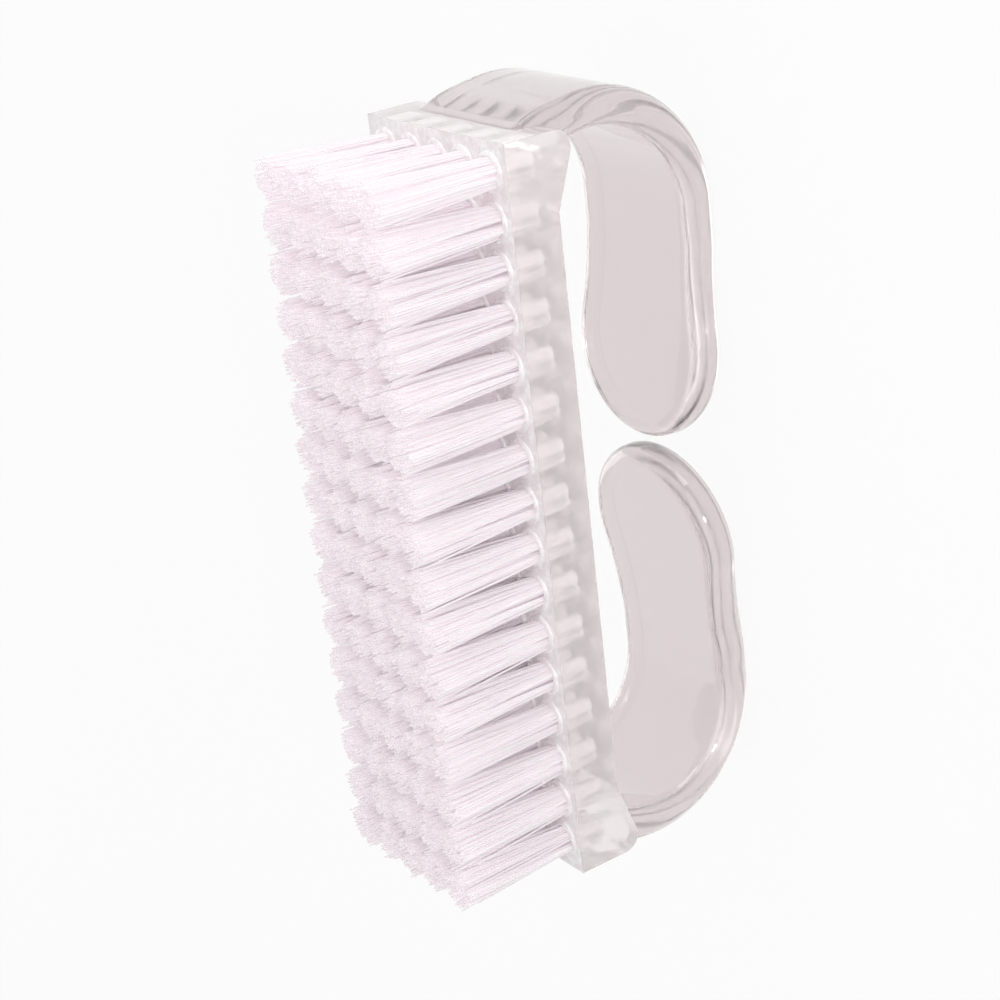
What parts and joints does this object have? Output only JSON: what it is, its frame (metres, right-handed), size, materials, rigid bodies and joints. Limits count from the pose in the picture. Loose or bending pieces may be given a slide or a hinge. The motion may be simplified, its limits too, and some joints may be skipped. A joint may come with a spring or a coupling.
{
  "type": "nail brush",
  "caption": "Clear moulded nail brush: white bristle tufts set in a flat block by metal anchors, with bent arms on its back that almost meet as a finger handle.",
  "frame": {"origin": "on the surface that the brush lies on, under the middle of its bounding box", "axes": "+X along the length, +Y across the width, +Z from the handle arms to the bristle tips"},
  "size_m": [0.0926, 0.0264, 0.0463],
  "materials": {
    "clear_plastic": "clear moulded plastic, polished, with a faint grey-pink cast",
    "white_nylon": "white nylon filament, trimmed square at the tips",
    "anchor_metal": "bright flat wire"
  },
  "bodies": {
    "root": {"handle_block": "clear_plastic", "tuft_row_01": "white_nylon", "tuft_row_02": "white_nylon", "tuft_row_03": "white_nylon", "tuft_row_04": "white_nylon", "tuft_row_05": "white_nylon", "tuft_row_06": "white_nylon", "tuft_row_07": "white_nylon", "tuft_row_08": "white_nylon", "tuft_row_09": "white_nylon", "tuft_row_10": "white_nylon", "tuft_row_11": "white_nylon", "tuft_row_12": "white_nylon", "tuft_row_13": "white_nylon", "tuft_row_14": "white_nylon", "tuft_row_15": "white_nylon", "tuft_row_16": "white_nylon", "anchor_row_01": "anchor_metal", "anchor_row_02": "anchor_metal", "anchor_row_03": "anchor_metal", "anchor_row_04": "anchor_metal", "anchor_row_05": "anchor_metal", "anchor_row_06": "anchor_metal", "anchor_row_07": "anchor_metal", "anchor_row_08": "anchor_metal", "anchor_row_09": "anchor_metal", "anchor_row_10": "anchor_metal", "anchor_row_11": "anchor_metal", "anchor_row_12": "anchor_metal", "anchor_row_13": "anchor_metal", "anchor_row_14": "anchor_metal", "anchor_row_15": "anchor_metal", "anchor_row_16": "anchor_metal"}
  },
  "joints": []
}
